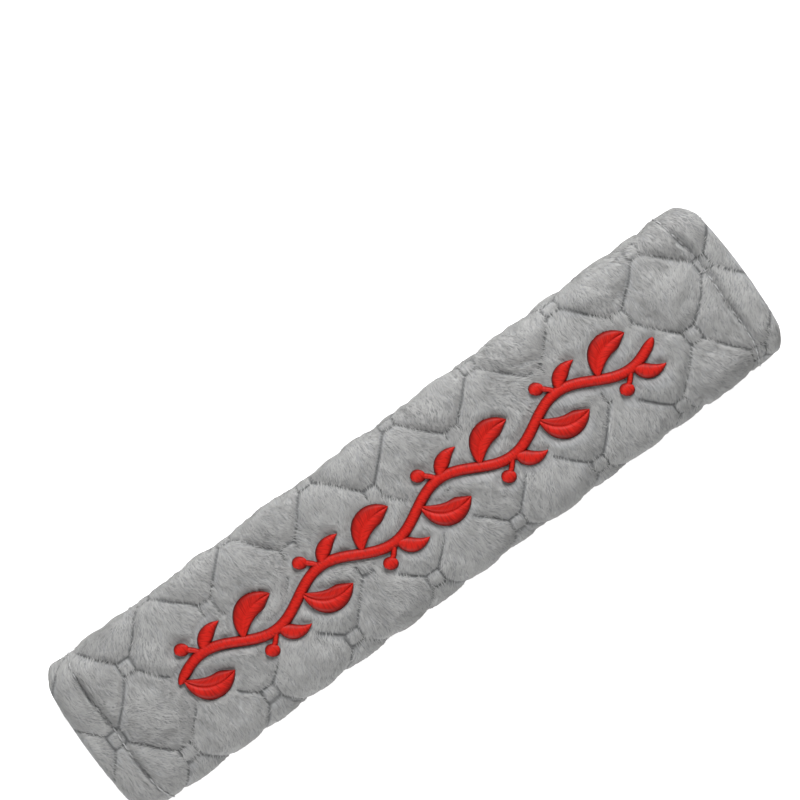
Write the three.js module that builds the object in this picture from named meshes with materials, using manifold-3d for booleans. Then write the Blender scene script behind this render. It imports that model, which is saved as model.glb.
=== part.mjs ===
// A shoulder pad for a car seat belt: a quilted plush panel wrapped round the webbing as a flat sleeve.
// The panel is laid out flat first, in cloth coordinates, and then wrapped into the sleeve:
//   x runs along the pad, s runs across the panel and round the folds, n runs outwards from the belt.
// Millimetres. The pad lies on its lapped back, +Z is the front that faces out, X is the long way.
import * as THREE from "three";
import { mergeVertices } from "three/addons/utils/BufferGeometryUtils.js";
import Module from "manifold-3d";

const wasm = await Module();
wasm.setup();

// The sleeve: its length, and the clear space that a 47 mm belt runs through.
const padLength = 300;
const channelWidth = 50;
const channelHeight = 5;

// The layers, from the belt outwards.
const liningThickness = 0.7;
const foamThickness = 3.2;
const layerGap = 0.3;
const grooveThickness = 1.2; // plush and wadding, pulled tight along a quilting seam
const puffHeight = 3.6; // how far a cell swells above its seams
const frontLoft = 1.5; // extra swell along the middle of the front
const foldRelief = 0.5; // share of the swell that is left where the panel bends
const foldLoft = 1.2; // wadding that gathers in the folds
const floorRelief = 0.8; // share of the swell at which the cells under the pad press flat

// The quilting: a net of diamonds with a small square knot at each crossing.
const diamondWidth = 37;
const diamondHeight = 39.6;
const netSteps = 5; // facets along a diamond's side
const netCentreX = 9.5; // where the net's crossings lie, across from the middle of the front
const netCentreY = -6.3;
const netSkew = -0.0245; // the net runs slightly off the length of the pad
const netFade = 16; // over which the net straightens before a free edge
const seamSag = 0.9; // how far the seams sag from knot to knot
const puffPower = 3.5;
const knotSize = 6;
const knotSwell = 0.3;
const knotFlank = 1.4; // over which a cell rises beside a knot, in knots
const rowClearance = 1 / 3; // nearest that a row of the net comes to another row, in steps

// The ends: the plush is turned in and topstitched.
const hemWidth = 12;
const hemHeight = 7.6;
const hemRelief = 0.6; // share of the swell that carries on over the hem
const stitchHeight = 5.8;
const stitchSpread = 1.3;
const foldedStitch = 0.8; // share of the stitched groove that closes up where the panel bends
const grooveRows = [-1.5, -0.7, 0, 0.7, 1.5]; // rows of vertices across the groove, in spreads
const endRound = 3.8;
const endBlunt = 0.22;
const cornerDraw = 3.2; // how far a folded corner draws in
const drawReach = 34;
const endBow = 1.2; // how far the ends bulge along the middle
const coreSetback = 3.2; // from the hem's stitching to the end of the foam

// The closure: the two long edges lap over each other under the pad, with tape between them.
const closureY = 4;
const tapeWidth = 20;
const tapeMargin = 1.5;
const tapeSetback = 4; // from the hem's stitching to the end of the tape
const tapeCorner = 2.5;
const ribbonThickness = 0.4;
const pileThickness = 0.55;
const selvedge = 1.5;
const underFlapPlush = 1;
const lapGap = 1;
const flapRamp = 2.6;
const lipRound = 2.6;
const edgeTurn = 1.5; // plush turned round the under flap's free edge
const stepWidth = 0.3;

// The embroidery: a leafy vine in satin stitch, on a field where the stitching holds the plush flat.
const fieldThickness = 3.7;
const fieldHalfHeight = 12.5;
const fieldSoftEdge = 7;
const vineLength = 216;
const vineCentreY = -1;
const vineWaves = 4;
const vineSwing = 4.6;
const stemWidth = 4.2;
const satinHeight = 1.4;
const thinHeight = 0.45; // share of that height that the narrowest column keeps
const leafLength = 21;
const leafWidth = 9.6;
const leafRoute = [[0.32, -0.5], [0.93, -0.36]]; // along and off the stem, in leaf lengths
const budLength = 12;
const budWidth = 5.8;
const budRoute = [[0.35, 0.55], [1, 0.5]];
const berryRadius = 2.7;
const stalkWidth = 2.2;
const rootSink = 0.5; // how far a sprig's columns start inside the stem

// Levels, each the height of a layer's face above the belt side of the wall.
const foamLevel = liningThickness + layerGap;
const wallBase = foamLevel + foamThickness + layerGap;
const underFlapTop = foamLevel + underFlapPlush;
const loopLevel = underFlapTop + layerGap;
const tapeThickness = ribbonThickness + pileThickness;
const meetLevel = loopLevel + tapeThickness;
const fieldLevel = wallBase + fieldThickness;
const floorLevel = wallBase + grooveThickness + puffHeight * floorRelief;
const outerFlapLevel = Math.max(wallBase, meetLevel + tapeThickness + layerGap);

// The fold arcs. Lengths across the panel are measured in the middle of the quilted layer.
const foldCentre = (channelWidth - channelHeight) / 2;
const foldRadius = channelHeight / 2 + wallBase + (grooveThickness + puffHeight) / 2;
const foldLength = Math.PI * foldRadius;
const backStart = foldCentre + foldLength;
const middleZ = floorLevel + channelHeight / 2;

// Where things lie across the panel: s > 0 goes to the outer flap, s < 0 to the under flap.
const lapWidth = tapeWidth + 2 * tapeMargin;
const outerEdgeY = closureY - lapWidth / 2;
const underEdgeY = closureY + lapWidth / 2;
const outerEdge = backStart + foldCentre - outerEdgeY;
const underEdge = -(backStart + foldCentre + underEdgeY);
const thinStart = -(backStart + foldCentre + outerEdgeY - lapGap);
const rampStart = thinStart + flapRamp;
const coreUnderEnd = rampStart + coreSetback;
const coreOuterEnd = backStart + foldCentre - underEdgeY - lapGap;
const coreEndX = padLength / 2 - hemWidth - coreSetback;
const tapeEndX = padLength / 2 - hemWidth - tapeSetback;

const clamp01 = (t) => Math.min(1, Math.max(0, t));
const smooth = (t) => clamp01(t) ** 2 * (3 - 2 * clamp01(t));
const mix = (a, b, t) => a + (b - a) * t;
const fromEnd = (x) => padLength / 2 - Math.abs(x);

// The place in space of a point of the wall: straight over the front, round a fold, straight under the back.
function place(x, s, n) {
  const across = Math.abs(s);
  const angle = THREE.MathUtils.clamp((across - foldCentre) / foldRadius, 0, Math.PI);
  const radius = channelHeight / 2 + n;
  const straight = across < backStart ? Math.min(across, foldCentre) : foldCentre - (across - backStart);
  const pull = cornerDraw * Math.sin(angle) ** 2 + endBow * (straight / foldCentre) ** 2;
  const drawn = pull * (1 - smooth(fromEnd(x) / drawReach));
  return new THREE.Vector3(
    x - Math.sign(x) * drawn,
    Math.sign(s) * (straight + radius * Math.sin(angle)),
    middleZ + radius * Math.cos(angle),
  );
}

// How far the net has slipped: more and more along the pad, sagging from knot to knot, and not at a free edge.
function netDrift(x, s) {
  const fade = smooth((outerEdge - s) / netFade) * smooth((s - rampStart) / netFade);
  const a = (x - netCentreX) / diamondWidth;
  const b = (s - netCentreY) / diamondHeight;
  const sag = Math.sin(Math.PI * (a + b)) ** 2 + Math.sin(Math.PI * (a - b)) ** 2;
  return (netSkew * x - seamSag * sag) * fade;
}

// The swell of the quilting, from 0 in a seam to 1 on a cell's crown.
function swell(x, s) {
  const a = (x - netCentreX) / (diamondWidth / 2);
  const b = (s - netCentreY) / (diamondHeight / 2);
  const seam = (t) => 1 - Math.abs(1 - 2 * Math.abs(t - Math.round(t))) ** puffPower;
  const cell = seam((a + b) / 2) * seam((a - b) / 2);
  const column = Math.round(a);
  const rows = [2 * Math.round((b - column) / 2) + column];
  const nearest = rows.concat([2 * Math.round((b - column - 1) / 2) + column + 1]);
  const columns = [column, column + Math.sign(a - column || 1)];
  const reach = columns.map((c, k) => Math.max(
    Math.abs(a - c) * diamondWidth,
    Math.abs(b - nearest[k]) * diamondHeight,
  ));
  const knot = Math.min(...reach) / knotSize;
  return knot < 1 ? knotSwell * (1 - knot ** 2) : cell * smooth((knot - 1) / knotFlank);
}

// How much of the embroidered field is at a point of the front, from 0 to 1.
function fieldShare(x, s) {
  if (Math.abs(s) > foldCentre + fieldSoftEdge) return 0;
  const alongX = smooth((vineLength / 2 + fieldSoftEdge - Math.abs(x)) / fieldSoftEdge);
  const alongY = smooth((fieldHalfHeight + fieldSoftEdge - Math.abs(s - vineCentreY)) / fieldSoftEdge);
  return alongX * alongY;
}

// The outer face of the quilted layer before its edges are rounded.
function plushLevel(x, s) {
  const across = s + netDrift(x, s);
  const angle = THREE.MathUtils.clamp((Math.abs(across) - foldCentre) / foldRadius, 0, Math.PI);
  const folding = Math.sin(angle);
  const relief = puffHeight * mix(1, foldRelief, folding) * swell(x, s);
  const loft = frontLoft * smooth(1 - Math.abs(across) / (foldCentre + foldLength / 4)) + foldLoft * folding;
  let level = wallBase + grooveThickness + relief + loft;
  level = mix(level, fieldLevel, fieldShare(x, across));
  const hem = 1 - smooth((fromEnd(x) - hemWidth + stitchSpread) / stitchSpread);
  level = mix(level, hemHeight + hemRelief * relief, hem);
  const leastLevel = s > coreOuterEnd ? outerFlapLevel + grooveThickness : stitchHeight;
  const stitched = Math.exp(-(((fromEnd(x) - hemWidth) / stitchSpread) ** 2));
  level = mix(level, Math.min(level, leastLevel), stitched * (1 - foldedStitch * folding));
  const down = Math.max(0, -Math.cos(angle));
  level = Math.min(level, (floorLevel + channelHeight / 2) / down - channelHeight / 2);
  return Math.max(level, s > coreOuterEnd ? leastLevel : 0);
}

function outerLevel(x, s) {
  return mix(underFlapTop, plushLevel(x, s), smooth((s - thinStart) / flapRamp));
}

// The inner face: the hems and the under flap's edge reach the belt, the rest leaves room for foam and lining.
function innerLevel(x, s) {
  if (s > coreOuterEnd + stepWidth / 2) return outerFlapLevel;
  if (Math.abs(x) > coreEndX + stepWidth / 2 || s < underEdge + edgeTurn) return 0;
  return s < coreUnderEnd - stepWidth / 2 ? foamLevel : wallBase;
}

// How full the wall is near an edge, so that hems and lips end in a round.
function fullness(x, s) {
  const round = (distance, radius) => Math.sqrt(1 - (1 - clamp01(distance / radius)) ** 2);
  const free = s > 0 ? round(outerEdge - s, lipRound) : 1;
  return Math.max(endBlunt, round(fromEnd(x), endRound) * Math.max(endBlunt, free));
}

function rounded(side) {
  return (x, s) => {
    const low = innerLevel(x, s);
    const high = outerLevel(x, s);
    return (low + high) / 2 + (side * fullness(x, s) * (high - low)) / 2;
  };
}

// Distances from an edge that follow a quarter round.
const eased = (radius, steps) => span(0, Math.PI / 2, steps).map((turn) => radius * (1 - Math.cos(turn)));

// Evenly spaced values from a to b.
const span = (a, b, steps) => Array.from({ length: steps + 1 }, (_, k) => mix(a, b, k / steps));

// The values of a lattice that fall between two limits, kept clear of both.
function latticeBetween(low, high, origin, step, clear) {
  const first = Math.ceil((low + clear - origin) / step);
  const last = Math.floor((high - clear - origin) / step);
  return Array.from({ length: Math.max(0, last - first + 1) }, (_, k) => origin + (first + k) * step);
}

// Joins two rows of vertices, in step along the edge that they share, into a strip of triangles.
function zip(upper, lower, faces, flip) {
  let i = 0;
  let j = 0;
  while (i < upper.length - 1 || j < lower.length - 1) {
    const takeUpper = j === lower.length - 1 ||
      (i < upper.length - 1 && upper[i + 1].along <= lower[j + 1].along);
    const third = takeUpper ? upper[i + 1].index : lower[j + 1].index;
    const triangle = [lower[j].index, upper[i].index, third];
    faces.push(...(flip ? triangle.reverse() : triangle));
    if (takeUpper) i += 1;
    else j += 1;
  }
}

// One face of a layer: a grid of vertices over xs and ss, at the level that a function gives.
function sheet(xs, ss, level, drift, vertices) {
  const start = vertices.length / 3;
  for (const x of xs) {
    for (const s of ss) place(x, s + drift(x, s), level(x, s)).toArray(vertices, vertices.length);
  }
  const index = (i, j) => start + i * ss.length + j;
  const lastX = xs.length - 1;
  const lastS = ss.length - 1;
  const alongX = (j) => xs.map((x, i) => ({ index: index(i, j), along: x }));
  const alongS = (i) => ss.map((s, j) => ({ index: index(i, j), along: s + drift(xs[i], s) }));
  return { xs, ss, index, rims: [alongX(0), alongX(lastS), alongS(0), alongS(lastX)] };
}

// Facets of a sheet, each pair split along the nearest seam of the net.
function facets(face, faces, flip) {
  for (let i = 0; i < face.xs.length - 1; i += 1) {
    for (let j = 0; j < face.ss.length - 1; j += 1) {
      const a = ((face.xs[i] + face.xs[i + 1]) / 2 - netCentreX) / (diamondWidth / 2);
      const b = ((face.ss[j] + face.ss[j + 1]) / 2 - netCentreY) / (diamondHeight / 2);
      const off = (t) => Math.abs(t - Math.round(t));
      const [p, q, r, t] = [face.index(i, j), face.index(i + 1, j), face.index(i + 1, j + 1), face.index(i, j + 1)];
      const rising = off((a - b) / 2) < off((a + b) / 2);
      const pair = rising ? [[p, q, r], [p, r, t]] : [[p, q, t], [q, r, t]];
      for (const triangle of pair) faces.push(...(flip ? triangle.reverse() : triangle));
    }
  }
}

// A closed layer of the wall between an upper and a lower face.
function layer(upper, lower) {
  const noDrift = () => 0;
  const vertices = [];
  const faces = [];
  const top = sheet(upper.xs, upper.ss, upper.level, upper.drift ?? noDrift, vertices);
  const bottom = sheet(lower.xs, lower.ss, lower.level, lower.drift ?? noDrift, vertices);
  facets(top, faces, false);
  facets(bottom, faces, true);
  [true, false, false, true].forEach((flip, k) => zip(top.rims[k], bottom.rims[k], faces, flip));
  const geometry = new THREE.BufferGeometry();
  geometry.setAttribute("position", new THREE.Float32BufferAttribute(vertices, 3));
  return geometry.setIndex(faces);
}

// Where a flat layer needs edges across the panel to follow the two folds.
const foldFacets = 8;
const foldRows = [
  ...span(-backStart, -foldCentre, foldFacets),
  ...span(foldCentre, backStart, foldFacets),
];
const rowsBetween = (low, high) => [low, ...foldRows.filter((s) => s > low && s < high), high];

// The quilted plush panel with its turned hems.
function coverGeometry() {
  const netX = diamondWidth / 2 / netSteps;
  const netS = diamondHeight / 2 / netSteps;
  const round = eased(endRound, 4);
  const hem = [...round, hemWidth / 2, ...grooveRows.map((row) => hemWidth + row * stitchSpread)];
  const innerX = padLength / 2 - hem.at(-1);
  const left = hem.map((e) => e - padLength / 2);
  const right = hem.map((e) => padLength / 2 - e).reverse();
  const xs = [...left, ...latticeBetween(-innerX, innerX, netCentreX, netX, netX * rowClearance), ...right];
  const lip = eased(lipRound, 4).map((distance) => outerEdge - distance).reverse();
  const ramp = span(thinStart, rampStart, 3);
  const body = latticeBetween(rampStart, lip[0], netCentreY, netS, netS * rowClearance);
  const upper = { xs, ss: [underEdge, ...ramp, ...body, ...lip], level: rounded(1), drift: netDrift };
  const pocketX = [coreEndX, coreEndX + stepWidth];
  const ends = [...round.map((e) => padLength / 2 - e), ...pocketX.slice().reverse()];
  const steps = [underEdge + edgeTurn, underEdge + edgeTurn - stepWidth, thinStart, rampStart, coreUnderEnd,
    coreUnderEnd - stepWidth, coreOuterEnd, coreOuterEnd + stepWidth, ...lip.slice(0, -1)];
  const lowerRows = [...rowsBetween(underEdge, outerEdge), ...steps];
  const lower = {
    xs: [...ends.map((x) => -x), ...ends.slice().reverse()],
    ss: lowerRows.sort((p, q) => p - q),
    level: rounded(-1),
  };
  return layer(upper, lower);
}

// A plain sheet that lines the wall between two levels.
function linerGeometry(low, high, from, to) {
  const rows = rowsBetween(from, to);
  const columns = [layerGap - coreEndX, coreEndX - layerGap];
  return layer({ xs: columns, ss: rows, level: () => high }, { xs: columns, ss: rows, level: () => low });
}

// A closed mesh as a solid that can be joined or cut, and back.
function solidOf(geometry) {
  const bare = geometry.clone();
  bare.deleteAttribute("normal");
  bare.deleteAttribute("uv");
  const merged = mergeVertices(bare, 1e-4);
  return new wasm.Manifold(new wasm.Mesh({
    numProp: 3,
    vertProperties: new Float32Array(merged.attributes.position.array),
    triVerts: new Uint32Array(merged.index.array),
  }));
}

function geometryOf(solid) {
  const mesh = solid.getMesh();
  const geometry = new THREE.BufferGeometry();
  geometry.setAttribute("position", new THREE.BufferAttribute(mesh.vertProperties, 3));
  return geometry.setIndex(new THREE.BufferAttribute(mesh.triVerts, 1));
}

function roundedStrip(length, width, corner) {
  const [x, y] = [length / 2, width / 2];
  const outline = new THREE.Shape();
  outline.moveTo(corner - x, -y).lineTo(x - corner, -y).absarc(x - corner, corner - y, corner, -Math.PI / 2, 0, false);
  outline.lineTo(x, y - corner).absarc(x - corner, y - corner, corner, 0, Math.PI / 2, false);
  outline.lineTo(corner - x, y).absarc(corner - x, y - corner, corner, Math.PI / 2, Math.PI, false);
  outline.lineTo(-x, corner - y).absarc(corner - x, corner - y, corner, Math.PI, 1.5 * Math.PI, false);
  return outline;
}

// Fastening tape, ribbon down on z = 0 and its hooks or loops up.
function tapeGeometry() {
  const slab = (inset, thickness) => new THREE.ExtrudeGeometry(
    roundedStrip(2 * (tapeEndX - inset), tapeWidth - 2 * inset, tapeCorner - inset),
    { depth: thickness, bevelEnabled: false, curveSegments: 4 },
  );
  return geometryOf(solidOf(slab(0, ribbonThickness)).add(solidOf(slab(selvedge, tapeThickness))));
}

// One column of satin stitch: a flat-bottomed ridge along a line, with the width that a function gives.
// A leaf is stitched as two columns that meet along its vein.
const ridge = [[-1, 0], [1, 0], [0.62, 0.72], [0, 1], [-0.62, 0.72]];
const veinedRidge = [[-1, 0], [1, 0], [0.82, 0.6], [0.45, 1], [0, 0.45], [-0.45, 1], [-0.82, 0.6]];
const leastWidth = 0.3;

function satinColumn(line, width, stations, section = ridge) {
  const vertices = [];
  const faces = [];
  const sides = section.length;
  span(0, 1, stations).forEach((t, k) => {
    const centre = line.getPoint(t);
    const along = line.getTangent(t);
    const half = Math.max(leastWidth, width(t)) / 2;
    const height = satinHeight * mix(thinHeight, 1, Math.min(1, half / (stemWidth / 2)));
    for (const [across, up] of section) {
      vertices.push(centre.x + along.y * half * across, centre.y - along.x * half * across, height * up);
    }
    for (let side = 0; k && side < sides; side += 1) {
      const [a, b] = [(k - 1) * sides + side, (k - 1) * sides + ((side + 1) % sides)];
      faces.push(a, b + sides, b, a, a + sides, b + sides);
    }
  });
  for (let side = 1; side < sides - 1; side += 1) {
    faces.push(0, side, side + 1);
    faces.push(stations * sides, stations * sides + side + 1, stations * sides + side);
  }
  const geometry = new THREE.BufferGeometry();
  geometry.setAttribute("position", new THREE.Float32BufferAttribute(vertices, 3));
  return solidOf(geometry.setIndex(faces));
}

const curved = (...points) => new THREE.QuadraticBezierCurve(...points.map(([x, y]) => new THREE.Vector2(x, y)));
const almond = (widest) => (t) => widest * Math.sin(Math.PI * t ** 0.8) ** 0.8;
const disc = (t) => 2 * berryRadius * Math.sqrt(Math.max(0, 1 - (2 * t - 1) ** 2));

// One half wave of the vine: a leaf under the arch, and a bud and a berry on a stalk outside it.
function sprig(x, up) {
  const wave = vineLength / vineWaves;
  const y = (height) => vineCentreY + up * height;
  const crest = x + wave / 4;
  const leafPlaces = leafRoute.map(([along, off]) => [x + along * leafLength, y(off * leafLength)]);
  const leaf = curved([x + stemWidth / 2, y(rootSink)], ...leafPlaces);
  const budPlaces = budRoute.map(([along, off]) => [crest + along * budLength, y(vineSwing + off * budLength)]);
  const bud = curved([crest + stalkWidth / 2, y(vineSwing - rootSink)], ...budPlaces);
  const berry = new THREE.Vector2(crest - berryRadius * 2, y(vineSwing + berryRadius * 2));
  const stalkBend = [crest - stalkWidth / 2, y(vineSwing + berryRadius)];
  const stalk = curved([crest, y(vineSwing - rootSink)], stalkBend, berry.toArray());
  const across = new THREE.LineCurve(
    new THREE.Vector2(berry.x - berryRadius, berry.y),
    new THREE.Vector2(berry.x + berryRadius, berry.y),
  );
  return [
    satinColumn(leaf, almond(leafWidth), 8, veinedRidge),
    satinColumn(bud, almond(budWidth), 5),
    satinColumn(stalk, () => stalkWidth, 3),
    satinColumn(across, disc, 6),
  ];
}

function embroideryGeometry() {
  const wave = vineLength / vineWaves;
  const crests = span(-vineLength / 2, vineLength / 2, 2 * vineWaves);
  const points = span(-vineLength / 2, vineLength / 2, 10 * vineWaves).map((x) => new THREE.Vector2(
    x,
    vineCentreY + vineSwing * Math.sin((2 * Math.PI * (x + vineLength / 2)) / wave),
  ));
  const stem = satinColumn(new THREE.SplineCurve(points), () => stemWidth, 14 * vineWaves);
  const sprigs = crests.slice(0, -1).flatMap((x, k) => sprig(x, k % 2 ? -1 : 1));
  return geometryOf(sprigs.reduce((whole, piece) => whole.add(piece), stem));
}

const plushGrey = new THREE.MeshStandardMaterial({ color: 0x9a9b9c, roughness: 0.95, metalness: 0 });
const foamWhite = new THREE.MeshStandardMaterial({ color: 0xe8e6df, roughness: 0.9, metalness: 0 });
const liningGrey = new THREE.MeshStandardMaterial({ color: 0x8a8b8d, roughness: 0.8, metalness: 0 });
const tapeGrey = new THREE.MeshStandardMaterial({ color: 0x5f6163, roughness: 0.7, metalness: 0 });
const threadRed = new THREE.MeshStandardMaterial({ color: 0xd4201c, roughness: 0.45, metalness: 0 });

const pad = new THREE.Group();

function addPiece(name, geometry, material) {
  const mesh = new THREE.Mesh(geometry, material);
  mesh.name = name;
  pad.add(mesh);
  return mesh;
}

addPiece("quilted_cover", coverGeometry(), plushGrey);
addPiece("foam_sheet", linerGeometry(foamLevel, wallBase - layerGap, coreUnderEnd + layerGap,
  coreOuterEnd - layerGap), foamWhite);
addPiece("lining", linerGeometry(0, liningThickness, underEdge + edgeTurn + layerGap,
  coreOuterEnd - layerGap), liningGrey);

const backZ = (level) => middleZ - channelHeight / 2 - level;
const loopTape = addPiece("loop_tape", tapeGeometry(), tapeGrey);
loopTape.rotation.x = Math.PI;
loopTape.position.set(0, closureY, backZ(loopLevel));
const hookTape = addPiece("hook_tape", tapeGeometry(), tapeGrey);
hookTape.position.set(0, closureY, backZ(meetLevel + tapeThickness));

const embroidery = addPiece("embroidered_vine", embroideryGeometry(), threadRed);
embroidery.position.z = middleZ + channelHeight / 2 + fieldLevel + layerGap;

export default pad;
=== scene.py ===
# %% [markdown]
# # A quilted plush shoulder pad for a seat belt
#
# The pad is a soft sleeve. One long panel of plush, quilted to its wadding in a net of diamonds, is
# wrapped round a sheet of foam, turned in at both ends and lapped shut under itself. On its front it
# carries a vine in red satin stitch. This lesson makes each of those pieces in Blender, round a frame
# that already holds their true sizes.

# %% Load the frame
import math
import bpy
import numpy as np
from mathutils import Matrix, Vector


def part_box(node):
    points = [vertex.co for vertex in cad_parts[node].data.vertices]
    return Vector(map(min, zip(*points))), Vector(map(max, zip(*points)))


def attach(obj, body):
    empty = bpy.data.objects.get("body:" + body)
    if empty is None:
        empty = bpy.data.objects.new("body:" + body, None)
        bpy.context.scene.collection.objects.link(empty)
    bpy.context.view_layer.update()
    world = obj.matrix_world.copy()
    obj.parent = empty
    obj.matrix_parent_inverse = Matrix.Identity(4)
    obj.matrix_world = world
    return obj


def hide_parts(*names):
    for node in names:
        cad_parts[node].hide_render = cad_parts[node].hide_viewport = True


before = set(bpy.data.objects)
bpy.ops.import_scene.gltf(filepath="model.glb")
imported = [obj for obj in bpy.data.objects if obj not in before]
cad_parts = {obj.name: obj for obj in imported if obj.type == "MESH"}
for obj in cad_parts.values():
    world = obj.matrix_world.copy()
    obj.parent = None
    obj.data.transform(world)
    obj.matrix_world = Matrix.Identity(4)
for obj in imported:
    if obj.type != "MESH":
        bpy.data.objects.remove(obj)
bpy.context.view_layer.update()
print("frame:", sorted(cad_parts))

# %% [markdown]
# ## The panel as a flat cloth
#
# Cloth is cut flat, so the pad is drawn flat too. A point of the panel has a place along the pad (x), a
# place across the panel (s, which runs on round the folds and under the pad) and a height off the belt
# (n). One function then wraps the panel into the sleeve. A Bend modifier could wrap it too, but it has to
# be fitted again for every layer, and a formula wraps them all alike. Wrapping last keeps the quilting
# from stretching round the folds, just as on the real pad.

# %% Sizes
MM = 0.001
cover_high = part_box("quilted_cover")[1]
lining_low, lining_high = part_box("lining")
foam_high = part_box("foam_sheet")[1]
tape_low, tape_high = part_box("loop_tape")
vine_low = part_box("embroidered_vine")[0]

lining_thickness = 0.7 * MM
layer_gap = 0.3 * MM
half_length = cover_high.x
half_gap = (lining_high.z - lining_low.z) / 2 - lining_thickness
middle_z = (lining_high.z + lining_low.z) / 2
fold_centre = lining_high.y - lining_thickness - half_gap
foam_level = lining_thickness + layer_gap
wall_base = foam_high.z - middle_z - half_gap + layer_gap
groove_thickness = 1.2 * MM
puff_height = 3.6 * MM
front_loft = 1.5 * MM
fold_loft = 1.6 * MM
fold_relief = 0.5
floor_level = middle_z - half_gap
fold_radius = half_gap + wall_base + (groove_thickness + puff_height) / 2
fold_length = math.pi * fold_radius
back_start = fold_centre + fold_length
field_level = vine_low.z - middle_z - half_gap - layer_gap
print(f"channel {2 * half_gap / MM:.1f} mm high, fold radius {fold_radius / MM:.1f} mm")

# %% [markdown]
# The lap under the pad has two free edges. The under flap runs thin below the belt, the outer flap
# closes over it, and fastening tape lies between them.

# %% Places across the panel
tape_margin = 1.5 * MM
lap_gap = 1 * MM
flap_ramp = 2.6 * MM
edge_turn = 1.5 * MM
outer_edge_y = tape_low.y - tape_margin
under_edge_y = tape_high.y + tape_margin
outer_edge = back_start + fold_centre - outer_edge_y
under_edge = -(back_start + fold_centre + under_edge_y)
thin_start = -(back_start + fold_centre + outer_edge_y - lap_gap)
ramp_start = thin_start + flap_ramp
core_under_end = ramp_start + 3.2 * MM
core_outer_end = back_start + fold_centre - under_edge_y - lap_gap
core_end_x = lining_high.x + layer_gap
under_flap_top = foam_level + 1 * MM
outer_flap_level = wall_base
print(f"panel {(outer_edge - under_edge) / MM:.0f} mm wide, cut {2 * half_length / MM:.0f} mm long")

# %% Wrap the panel into the sleeve
corner_draw = 3.2 * MM
draw_reach = 34 * MM
end_bow = 1.2 * MM


def smooth(t):
    t = np.clip(t, 0, 1)
    return t * t * (3 - 2 * t)


def mix(a, b, t):
    return a + (b - a) * t


def place(x, s, n):
    """Points in space of the wall at x along the pad, s across the panel and n off the belt."""
    across = np.abs(s)
    angle = np.clip((across - fold_centre) / fold_radius, 0, math.pi)
    under = fold_centre + back_start - across
    straight = np.where(across < back_start, np.minimum(across, fold_centre), under)
    pull = corner_draw * np.sin(angle) ** 2 + end_bow * (straight / fold_centre) ** 2
    drawn = pull * (1 - smooth((half_length - np.abs(x)) / draw_reach))
    y = np.sign(s) * (straight + (half_gap + n) * np.sin(angle))
    z = middle_z + (half_gap + n) * np.cos(angle)
    return np.stack([x - np.sign(x) * drawn, y, z], axis=-1)


# %% [markdown]
# ## The quilting
#
# The sewing machine follows a net: two families of slanted seams, with a small square knot sewn at each
# crossing. Between the seams the wadding swells into a pillow that rises steeply from the crease and
# flattens on its crown. A bump in the material could draw this, but the silhouette would stay straight, so
# the swell is worked out as a height that moves the mesh. Real quilting is never quite regular: a slow
# random drift bends the seams, and every pillow is filled a little differently.

# %% The net of seams
diamond_width = 37 * MM
diamond_height = 39.6 * MM
net_centre_x = 9.5 * MM
net_centre_s = -6.3 * MM
net_skew = -0.0245
net_fade = 16 * MM
knot_half = 2.9 * MM
knot_rise = 0.34
crown_power = 2.2
flank_power = 0.5
knot_flank = 2.2
uneven_filling = 0.13
seam_drift = 0.5 * MM
seam_sag = 0.9 * MM
seam_pitch = 1 / math.hypot(1 / diamond_width, 1 / diamond_height)
print(f"seams {seam_pitch / MM:.1f} mm apart")


# %% A slow random drift
def wander(x, s, wavelength, seed):
    """A smooth random field between about -1 and 1, the same on every run."""
    draw = np.random.default_rng(seed)
    total = np.zeros(np.broadcast(x, s).shape)
    waves = 7
    for _ in range(waves):
        heading = draw.uniform(0, math.tau)
        scale = math.tau / (wavelength * draw.uniform(0.7, 1.5))
        phase = draw.uniform(0, math.tau)
        total += np.sin((x * math.cos(heading) + s * math.sin(heading)) * scale + phase)
    return total / math.sqrt(waves * 2)


# %% Where a place lies in the net
def net_places(x, s):
    """How many seams of each slanted family lie between the net's centre and a place."""
    a = (x - net_centre_x) / diamond_width
    b = (s - net_centre_s) / diamond_height
    return a + b, a - b


def net_drift(x, s):
    """How far the net has slipped: more and more along the pad, and sagging from knot to knot."""
    fade = smooth((outer_edge - s) / net_fade) * smooth((s - ramp_start) / net_fade)
    rising, falling = net_places(x, s)
    sag = np.sin(math.pi * rising) ** 2 + np.sin(math.pi * falling) ** 2
    return (net_skew * x - seam_sag * sag) * fade


# %% Find the nearest knot
drift_wave = 26 * MM
knot_square = 5
far = 9.0


def net_cell(x, s):
    """Where a place lies between the seams of each family, and how far it is from the nearest knot."""
    x = x + seam_drift * wander(x, s, drift_wave, 3)
    s = s + seam_drift * wander(x, s, drift_wave, 4)
    rising, falling = net_places(x, s)
    a = rising + falling
    b = rising - falling
    column = np.rint(a)
    beside = column + np.where(a > column, 1, -1)
    ring = np.full(a.shape, far)
    for knot_column in (column, beside):
        row = 2 * np.rint((b - knot_column) / 2) + knot_column
        away_x = np.abs(a - knot_column) * diamond_width / 2
        away_s = np.abs(b - row) * diamond_height / 2
        square = (away_x ** knot_square + away_s ** knot_square) ** (1 / knot_square)
        ring = np.minimum(ring, square / knot_half)
    return rising, falling, ring


# %% Seams and pillows
scatter = (7.1, 5.3)
scatter_wave = 9.0


def seam_distance(x, s):
    """The distance from the nearest seam, of the net or round a knot."""
    rising, falling, ring = net_cell(x, s)
    seam = np.minimum(np.abs(rising - np.rint(rising)), np.abs(falling - np.rint(falling))) * seam_pitch
    return np.minimum(np.where(ring < 1, far, seam), np.abs(ring - 1) * knot_half)


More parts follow.
